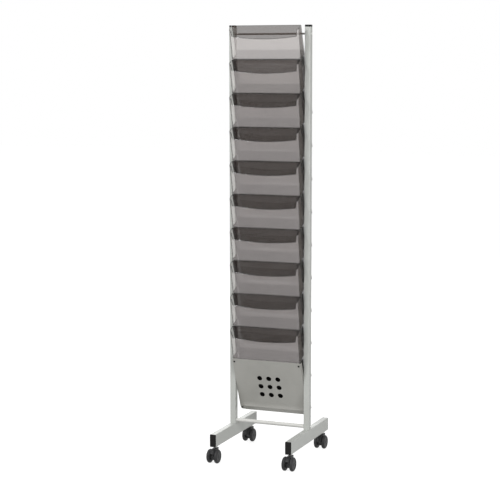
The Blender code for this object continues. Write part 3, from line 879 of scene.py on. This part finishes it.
@dataclass
class BasePanel:
    """The bent sheet below the trays, with its field of holes and a pressed ledge at the bend."""

    rack: TrayRack
    sheet: float = 0.0012
    above_tray_end: float = 0.0017
    strip: float = 0.016
    half: float = 0.1155
    standoff: float = 0.0043
    rise: float = 0.0014
    corner: float = 0.006
    corner_steps: int = 5
    bend: float = math.radians(15)
    bend_radius: float = 0.004
    bend_above: float = 0.0006
    bend_run: float = 0.0018
    bend_steps: int = 6
    flat_spans: int = 10
    hole: float = 0.017
    hole_pitch: float = 0.031
    hole_facets: int = 36
    punch_depth: float = 0.01
    rows: int = 3
    screw_inset: float = 0.0062
    screw_top: float = 0.010
    screw_strip: float = 0.007
    ledge: float = 0.0008
    ledge_inset: float = 0.014
    ledge_side: float = 0.002
    ledge_above: float = 0.0014
    ledge_slope: float = 0.0006

    @property
    def flat(self) -> float:
        """Length above the bend, so that the sheet ends just above the last tray's bottom."""
        rack = self.rack
        return rack.length - rack.pitch * math.cos(rack.lean) - self.strip - self.above_tray_end

    @property
    def end(self) -> float:
        """The sheet's whole length."""
        return self.flat + self.strip

    def place(self) -> Matrix:
        """Works out where the panel hangs.

        Returns:
            Its frame: at the top edge of its rear face, leaning like the trays.
        """
        rack, lean = self.rack, self.rack.lean
        u = rack.pitch * math.cos(lean)
        v = rack.lower_depth + self.standoff
        last = rack.first_z - (rack.count - 1) * rack.pitch
        y = -rack.forward + u * math.sin(lean) - v * math.cos(lean)
        z = last - u * math.cos(lean) - v * math.sin(lean)
        return Matrix.Translation((0, y, z)) @ Matrix.Rotation(lean, 4, "X")

    def point(self, along: float, offset: float) -> Pair:
        """Follows the sheet through its soft bend.

        Args:
            along: A distance along the rear face.
            offset: How far in front of that face.

        Returns:
            (u, v) in the panel's frame.
        """
        radius, bend = self.bend_radius, self.bend
        start = self.flat - radius * math.tan(bend / 2)
        turn = radius * bend
        if along <= start:
            return (along, offset)
        if along < start + turn:
            a, reach = (along - start) / radius, radius + offset
            return (start + reach * math.sin(a), -radius + reach * math.cos(a))
        rest = along - start - turn
        u, v = start + radius * math.sin(bend), -radius + radius * math.cos(bend)
        return (u + rest * math.cos(bend) + offset * math.sin(bend),
                v - rest * math.sin(bend) + offset * math.cos(bend))

    def across(self, along: float) -> float:
        """Works out half the sheet's width, with rounded corners.

        Args:
            along: A distance along the sheet.

        Returns:
            Half its width there.
        """
        near = min(along + self.rise, self.end - along)
        if near >= self.corner:
            return self.half
        drop = max(self.corner ** 2 - (self.corner - near) ** 2, 0.0)
        return self.half - self.corner + math.sqrt(drop)

    def proud(self, x: float, along: float) -> float:
        """Works out the pressed strip below the ledge.

        Args:
            x: A distance from the middle.
            along: A distance along the sheet.

        Returns:
            How far the strip stands out of the sheet's front there.
        """
        inside = (self.half - self.ledge_inset - abs(x)) / self.ledge_side
        below = (along - self.flat + self.ledge_above) / self.ledge_slope
        return self.ledge * min(max(inside, 0.0), 1.0) * min(max(below, 0.0), 1.0)

    def blank(self) -> Form:
        """Builds the bent sheet without its holes.

        Returns:
            The sheet in its own frame.
        """
        flat = self.flat
        rounds = [along for along, across in quarter(self.corner, self.corner_steps)]
        stations = [s - self.rise for s in rounds]
        stations += [flat * i / self.flat_spans for i in range(1, self.flat_spans)]
        stations += [flat - self.ledge_above, flat - self.ledge_above + self.ledge_slope]
        stations += [flat - self.bend_above + self.bend_run * i / self.bend_steps
                     for i in range(self.bend_steps + 1)]
        stations += [self.end - s for s in reversed(rounds)]
        ledge = self.half - self.ledge_inset
        form = bmesh.new()
        rings = []
        for along in stations:
            half = max(self.across(along), self.half - self.corner)
            marks = [half, ledge, ledge - self.ledge_side]
            columns = [-x for x in marks] + marks[::-1]
            points = [(x, 0.0) for x in columns]
            points += [(x, self.sheet + self.proud(x, along)) for x in reversed(columns)]
            placed = [(x, self.point(along, offset)) for x, offset in points]
            rings.append([(x, -v, -u) for x, (u, v) in placed])
        skin(form, rings)
        return form

    def perforator(self) -> NodeTree:
        """Builds a tree that punches rows of round holes through a sheet.

        Returns:
            The tree.
        """
        nodes = NodeTree("punched_holes")
        pitch = nodes.number("Hole pitch", "Float", self.hole_pitch)
        radius = nodes.number("Hole radius", "Float", self.hole / 2)
        rows = nodes.number("Rows", "Int", self.rows)
        centre = nodes.number("Centre", "Vector", (0.0, 0.0, -self.end / 2))
        coat = nodes.number("Coat", "Material", SHADED_SHEET_COAT.material())
        tree = nodes.tree
        gaps = add_node(tree, "ShaderNodeMath", {0: rows, 1: 1.0}, operation="SUBTRACT")
        span = add_node(tree, "ShaderNodeMath", {0: gaps, 1: pitch}, operation="MULTIPLY")
        grid = add_node(tree, "GeometryNodeMeshGrid",
                        {"Size X": span, "Size Y": span, "Vertices X": rows, "Vertices Y": rows})
        punch = add_node(tree, "GeometryNodeMeshCylinder",
                         {"Vertices": self.hole_facets, "Radius": radius,
                          "Depth": self.punch_depth})
        spread = add_node(tree, "GeometryNodeInstanceOnPoints",
                          {"Points": grid, "Instance": punch})
        upright = add_node(tree, "GeometryNodeTransform",
                           {"Geometry": spread, "Translation": centre,
                            "Rotation": (QUARTER, 0.0, 0.0)})
        punches = add_node(tree, "GeometryNodeRealizeInstances", {0: upright})
        cut = add_node(tree, "GeometryNodeMeshBoolean", {0: nodes.start, 1: punches},
                       operation="DIFFERENCE", solver="EXACT")
        nodes.finish(cut, coat)
        return nodes

    def screw_places(self) -> list[tuple[str, Matrix]]:
        """Works out where the panel's screws sit.

        Returns:
            Each screw's node and its matrix in the stand's frame, Z out of the panel.
        """
        places = []
        rows = (("top", self.screw_top, 0.0), ("bottom", self.flat + self.screw_strip, self.bend))
        for level, along, bend in rows:
            u, v = self.point(along, self.sheet)
            for side in Side:
                seat = Matrix.Translation((side.value * (self.half - self.screw_inset), -v, -u))
                local = seat @ Matrix.Rotation(QUARTER + bend, 4, "X")
                places.append((f"panel_screw_{level}_{side.word}", self.place() @ local))
        return places

    def build(self) -> None:
        """Builds the punched sheet in place of its node."""
        sheet = self.perforator().run("punched_panel", as_mesh("blank", self.blank()))
        sheet.materials.clear()
        reach = (self.rows - 1) / 2 * self.hole_pitch + self.hole
        for face in sheet.polygons:
            x, y, z = face.center
            # Walls of holes face along the sheet, within the field of holes; they take the painted
            # shade
            in_hole = abs(face.normal.y) < 0.5 and max(abs(x), abs(z + self.end / 2)) < reach
            face.material_index = 1 if in_hole else 0
        sheet.transform(self.place())
        keep("punched_panel", sheet, [SHADED_SHEET_COAT, HOLE_WALL_SHADE], STAND, ["base_panel"])


@dataclass(frozen=True)
class ScrewHead:
    """A domed head with a cross recess, its underside at Z 0, on a short shank.

    Shares are of the radius, but the brim's is of the height and the slot's of the recess.
    """

    radius: float
    height: float
    recess: float
    facets: int = 28
    dome_steps: int = 5
    dome_turn: float = math.radians(75)
    brim_share: float = 0.35
    seat_share: float = 0.97
    slot_share: float = 0.45
    shank_share: float = 0.4
    point_share: float = 0.28
    tip: float = -0.0032
    bevel: float = 0.0006

    def template(self) -> bpy.types.Object:
        """Builds the head.

        Returns:
            An object to copy from, removed once the screws are set.
        """
        shank, point = self.radius * self.shank_share, self.radius * self.point_share
        line = [(0, self.tip), (point, self.tip), (shank, self.tip + self.bevel), (shank, 0),
                (self.radius * self.seat_share, 0)]
        for i in range(self.dome_steps + 1):
            t = i / self.dome_steps
            level = mix(self.brim_share, 1.0, math.sin(t * QUARTER))
            line.append((self.radius * math.cos(t * self.dome_turn), self.height * level))
        form = turned([*line, (0, self.height)], self.facets)
        size = Matrix.Diagonal((2 * self.recess, self.recess * self.slot_share, self.height, 1))
        for turn in (0.0, QUARTER):
            place = Matrix.Translation((0, 0, self.height)) @ Matrix.Rotation(turn, 4, "Z")
            form = carve(form, block(place @ size))
        return put("screw_head", as_mesh("screw_head", form))


@dataclass
class Fasteners:
    """The bars' and the panel's screws, set on their places by one tree each."""

    panel: BasePanel
    rod_z: float = 1.337978
    rail_z: float = 0.1025
    post_outer: float = 0.1355
    seat: float = 0.0003
    bar_head: ScrewHead = ScrewHead(0.00375, 0.0022, 0.0019)
    panel_head: ScrewHead = ScrewHead(0.0029, 0.0018, 0.0015)

    def set_screws(self, name: str, places: Sequence[tuple[str, Matrix]], head: ScrewHead,
                   finish: Finish) -> None:
        """Sets one head on each place, as one piece.

        Args:
            name: The piece's name.
            places: Nodes and matrices, Z out of the seat.
            head: The kind of head.
            finish: The screws' finish.
        """
        lift = Matrix.Translation((0, 0, self.seat))
        carrier = bpy.data.meshes.new("seats")
        seats = [(matrix @ lift).to_translation() for node, matrix in places]
        carrier.from_pydata(seats, [], [])
        turns = carrier.attributes.new("turn", "FLOAT_VECTOR", "POINT")
        for i, (node, matrix) in enumerate(places):
            turns.data[i].vector = matrix.to_euler()
        template = head.template()
        nodes = NodeTree(name)
        source = nodes.number("Screw head", "Object", template)
        plate = nodes.number("Plate", "Material", finish.material())
        tree = nodes.tree
        shape = add_node(tree, "GeometryNodeObjectInfo", {"Object": source})
        turn = add_node(tree, "GeometryNodeInputNamedAttribute", {"Name": "turn"},
                        data_type="FLOAT_VECTOR")
        as_turn = add_node(tree, "FunctionNodeEulerToRotation", {0: turn})
        set_on = add_node(tree, "GeometryNodeInstanceOnPoints",
                          {"Points": nodes.start, "Instance": shape.outputs["Geometry"],
                           "Rotation": as_turn})
        nodes.finish(set_on, plate)
        mesh = nodes.run(name, carrier)
        bpy.data.objects.remove(template, do_unlink=True)
        keep(name, mesh, [], STAND, [node for node, matrix in places])

    def build(self) -> None:
        """Builds the bars' screws and the panel's screws."""
        bars = []
        for bar, z in (("top_rod", self.rod_z), ("bottom_rail", self.rail_z)):
            for side in Side:
                seat = Matrix.Translation((side.value * self.post_outer, 0, z))
                matrix = seat @ Matrix.Rotation(side.value * QUARTER, 4, "Y")
                bars.append((f"{bar}_screw_{side.word}", matrix))
        self.set_screws("bar_screws", bars, self.bar_head, PALE_ZINC)
        self.set_screws("panel_screws", self.panel.screw_places(), self.panel_head, BLACK_OXIDE)


@dataclass
class Caster:
    """One twin-wheel caster: hood, wheels and, on the front ones, a foot lever.

    Angles are in degrees about the axle, from the rear up and over.
    """

    name: str
    x: float
    y: float
    braked: bool
    trail: float = 0.017
    radius: float = 0.022
    hood_width: float = 0.014
    hood_radius: float = 0.0234
    hood_top: float = 0.0462
    hood_round: float = 0.0012
    hood_arc: Pair = (170, 85)
    toe: float = 0.013
    toe_arc: Pair = (-30, -170)
    boss: float = 0.007
    waist: float = 0.028
    lever_width: float = 0.009
    lever_thick: float = 0.0048
    lever_proud: float = 0.0012
    lever_round: float = 0.0005
    lever_arc: Pair = (98, 152)
    lever_steps: int = 24
    lever_pin: float = 106
    lever_play: float = 0.0006
    lever_travel: float = 0.0046
    recess_arc: Pair = (182, 92)
    recess_reach: float = 0.034
    rib: float = 0.0005
    ribs: int = 3
    rib_from: float = 0.55
    rib_run: float = 0.4
    wheel_inner: float = 0.0076
    wheel_width: float = 0.011
    wheel_round: float = 0.0016
    wheel_facets: int = 56
    axle: float = 0.0024
    axle_sunk: float = 0.0002
    inner_boss: float = 0.007
    tread_edge: float = 0.0022
    crown: Pair = (0.0028, 0.0036)
    crown_lip: float = 0.0006
    rim: Pair = (0.0075, 0.0085)
    dish: float = 0.0009
    hub: Pair = (0.006, 0.0052)
    hub_lip: float = 0.0001
    hub_top: float = 0.0008

    def round_axle(self, radius: float, degrees: float) -> Pair:
        """(y, z) on a circle about the axle, at an angle from the rear up and over."""
        a = math.radians(degrees)
        return (self.y - self.trail + radius * math.cos(a), self.radius + radius * math.sin(a))

    def arc(self, radius: float, ends: Pair, steps: int) -> list[Pair]:
        """Points on a circle about the axle, between two angles."""
        return [self.round_axle(radius, mix(*ends, i / steps)) for i in range(steps + 1)]

    def slab(self, outline: Sequence[Pair], width: float) -> Form:
        """Builds a prism across X, centred on the caster.

        Args:
            outline: (y, z) points.
            width: Its width.

        Returns:
            The new form.
        """
        form = bmesh.new()
        skin(form, [[(self.x + x, y, z) for y, z in outline] for x in (-width / 2, width / 2)])
        return form

    def hood(self) -> None:
        """Builds the hood between the wheels, with a recess under the lever."""
        outline = [(self.y + self.boss, self.hood_top), (self.y + self.boss, self.waist)]
        outline += self.arc(self.toe, self.toe_arc, 14)
        outline += self.arc(self.hood_radius, self.hood_arc, 18)
        outline += [(self.y - self.boss, self.hood_top)]
        form = self.slab(outline, self.hood_width)
        soften(form, self.hood_round, 3)
        if self.braked:
            rear, front = self.recess_arc
            inner = self.hood_radius + self.lever_proud - self.lever_thick - self.lever_play
            deep = inner - self.lever_travel
            recess = [self.round_axle(inner, front), self.round_axle(inner, self.lever_pin),
                      self.round_axle(deep, self.lever_arc[1]), self.round_axle(deep, rear)]
            recess += self.arc(self.recess_reach, self.recess_arc, 6)
            form = carve(form, self.slab(recess, self.lever_width + 2 * self.lever_play))
        keep(f"{self.name}_cover", form, [HOOD_NYLON], self.name, [f"{self.name}_hood"])

    def lever(self) -> None:
        """Builds the foot lever with its grip ribs."""
        outer = self.hood_radius + self.lever_proud
        outline = []
        for i in range(self.lever_steps + 1):
            t = i / self.lever_steps
            place = (t - self.rib_from) / self.rib_run
            rib = max(0.0, math.sin(place * self.ribs * math.tau)) if 0 < place < 1 else 0.0
            height = outer - self.rib + self.rib * rib
            outline.append(self.round_axle(height, mix(*self.lever_arc, t)))
        outline += self.arc(outer - self.lever_thick, self.lever_arc[::-1], self.lever_steps // 2)
        form = self.slab(outline, self.lever_width)
        soften(form, self.lever_round)
        body = f"{self.name}_brake"
        keep(f"{self.name}_pedal", form, [HOOD_NYLON], body, [body])

    def wheels(self) -> None:
        """Builds both wheels, with a crowned tread and a dished outer face."""
        inner, r = self.wheel_inner, self.radius
        outer = inner + self.wheel_width
        line = [(self.axle, inner + self.axle_sunk), (self.inner_boss, inner),
                (r - self.tread_edge, inner), (r, inner + self.tread_edge),
                (r, outer - self.crown[1]), (r - self.crown[0], outer - self.crown_lip),
                (r - self.rim[0], outer), (r - self.rim[1], outer - self.dish),
                (self.hub[0], outer - self.dish), (self.hub[1], outer - self.hub_lip),
                (self.hub_top, outer)]
        line = rounded_profile(line, self.wheel_round, 3)
        line = [(0, inner + self.axle_sunk), *line, (0, outer)]
        centre = Matrix.Translation((self.x, self.y - self.trail, self.radius))
        for side in Side:
            form = turned(line, self.wheel_facets)
            form.transform(centre @ Matrix.Rotation(side.value * QUARTER, 4, "Y"))
            body = f"{self.name}_wheel_{side.word}"
            keep(f"{body}_tread", form, [WHEEL_NYLON], body, [body])

    def build(self) -> None:
        """Builds the caster."""
        self.hood()
        self.wheels()
        if self.braked:
            self.lever()
        dress([f"{self.name}_stem"], PALE_ZINC)
        dress([f"{self.name}_axle"], ZINC_PLATE)


@dataclass
class Frame:
    """The carried-over tubes, bars, plugs and brackets."""

    rod: str = "top_rod"
    rail: str = "bottom_rail"

    def build(self) -> None:
        """Dresses the CAD nodes that keep their own shape."""
        for side in Side:
            dress([f"{side.word}_post", f"{side.word}_foot"], SILVER_COAT)
            dress([f"{side.word}_panel_bracket"], SHADED_SHEET_COAT)
            caps = [f"{side.word}_foot_{end.word}_cap" for end in End]
            dress([f"{side.word}_post_cap", *caps], PLUG_BLACK)
        dress([self.rod], DARK_PLATE)
        dress([self.rail], SATIN_ZINC)


@dataclass(frozen=True)
class Lamp:
    """A soft square lamp: where it hangs, what it points at, its side and its power in watts."""

    name: str
    location: Point
    target: Point
    size: float
    power: float

    def build(self) -> None:
        """Hangs the lamp."""
        data = bpy.data.lights.new(self.name, "AREA")
        data.size = self.size
        data.energy = self.power
        item = put(self.name, data)
        item.location = self.location
        ahead = Vector(self.target) - Vector(self.location)
        item.rotation_euler = ahead.to_track_quat("-Z", "Y").to_euler()


@dataclass
class Studio:
    """Floor, light and camera. Angles are in degrees, the lens and the sensor in millimetres."""

    ambient: float = 0.47
    floor_half: float = 15.0
    floor_tone: str = "#979795"
    floor_shown: str = "#a0a0a0"
    floor_glow: float = 0.84
    location: Point = (1.70921, -4.38833, 1.25560)
    yaw: float = 22.0625
    pitch: float = -7.1881
    roll: float = -0.0707
    lens: float = 108.085
    sensor: float = 36.0
    clip_end: float = 100.0
    walls_seen_through: int = 48
    lamps: tuple[Lamp, ...] = (
        Lamp("key", (-1.05, -3.2, 3.3), (0.0, 0.0, 1.0), 0.7, 78),
        Lamp("fill", (2.9, -2.9, 2.1), (0.0, 0.0, 0.9), 2.2, 85),
        Lamp("back", (-1.8, 3.4, 2.4), (0.0, 0.0, 0.8), 2.0, 45),
    )

    def seen(self, tree: bpy.types.NodeTree) -> bpy.types.Node:
        """Tells what is seen from what only lights the object.

        Args:
            tree: The node tree to add to.

        Returns:
            A node that gives 1 to the camera, a reflection and a view through glass.
        """
        path = add_node(tree, "ShaderNodeLightPath").outputs
        either = add_node(tree, "ShaderNodeMath",
                          {0: path["Is Camera Ray"], 1: path["Is Glossy Ray"]},
                          operation="MAXIMUM")
        return add_node(tree, "ShaderNodeMath", {0: either, 1: path["Is Transmission Ray"]},
                        operation="MAXIMUM")

    def world(self) -> None:
        """A white background that lights the object more softly than it shows."""
        world = bpy.data.worlds.new("studio")
        world.use_nodes = True
        tree = world.node_tree
        strength = add_node(tree, "ShaderNodeMapRange",
                            {"Value": self.seen(tree), "To Min": self.ambient, "To Max": 1.0})
        connect(tree.nodes["Background"], {"Color": linear("#ffffff"), "Strength": strength})
        bpy.context.scene.world = world

    def floor(self) -> None:
        """A plain pale floor that shows white and keeps a faint shadow."""
        far = self.floor_half
        mesh = bpy.data.meshes.new("floor")
        corners = [(-far, -far, 0), (far, -far, 0), (far, far, 0), (-far, far, 0)]
        mesh.from_pydata(corners, [], [(0, 1, 2, 3)])
        item = put("floor", mesh)
        material = bpy.data.materials.new("pale_floor")
        material.use_nodes = True
        tree = material.node_tree
        tree.nodes.remove(tree.nodes["Principled BSDF"])
        matt = add_node(tree, "ShaderNodeBsdfDiffuse", {"Color": linear(self.floor_tone)})
        soft = add_node(tree, "ShaderNodeBsdfDiffuse", {"Color": linear(self.floor_shown)})
        glow = add_node(tree, "ShaderNodeEmission", {"Strength": self.floor_glow})
        lit = add_node(tree, "ShaderNodeAddShader", {0: soft, 1: glow})
        both = add_node(tree, "ShaderNodeMixShader", {0: self.seen(tree), 1: matt, 2: lit})
        connect(tree.nodes["Material Output"], {"Surface": both})
        mesh.materials.append(material)

    def camera(self) -> None:
        """A camera at the photograph's angle."""
        data = bpy.data.cameras.new("camera")
        data.lens = self.lens
        data.sensor_width = self.sensor
        data.clip_end = self.clip_end
        item = put("camera", data)
        yaw, pitch, roll = (math.radians(angle) for angle in (self.yaw, self.pitch, self.roll))
        level = math.cos(pitch)
        ahead = Vector((-math.sin(yaw) * level, math.cos(yaw) * level, math.sin(pitch)))
        right = Vector((math.cos(yaw), math.sin(yaw), 0))
        axes = Matrix((right, right.cross(ahead), -ahead)).transposed().to_4x4()
        item.matrix_world = Matrix.Translation(self.location) @ axes @ Matrix.Rotation(roll, 4, "Z")
        bpy.context.scene.camera = item

    def build(self) -> None:
        """Builds the studio."""
        bpy.context.scene.view_settings.view_transform = "Standard"
        bpy.context.scene.cycles.transparent_max_bounces = self.walls_seen_through
        self.world()
        self.floor()
        for lamp in self.lamps:
            lamp.build()
        self.camera()


def main() -> None:
    """Builds the stand's looks and the studio."""
    logging.basicConfig(level=logging.INFO, format="%(name)s %(message)s")
    Studio().build()
    rack = TrayRack()
    rack.build()
    panel = BasePanel(rack)
    panel.build()
    Fasteners(panel).build()
    for end in End:
        for side in Side:
            name = f"caster_{end.word}_{side.word}"
            Caster(name, side.value * STEM_X, end.value * STEM_Y, end is End.FRONT).build()
    Frame().build()


if __name__ == "__main__":
    main()
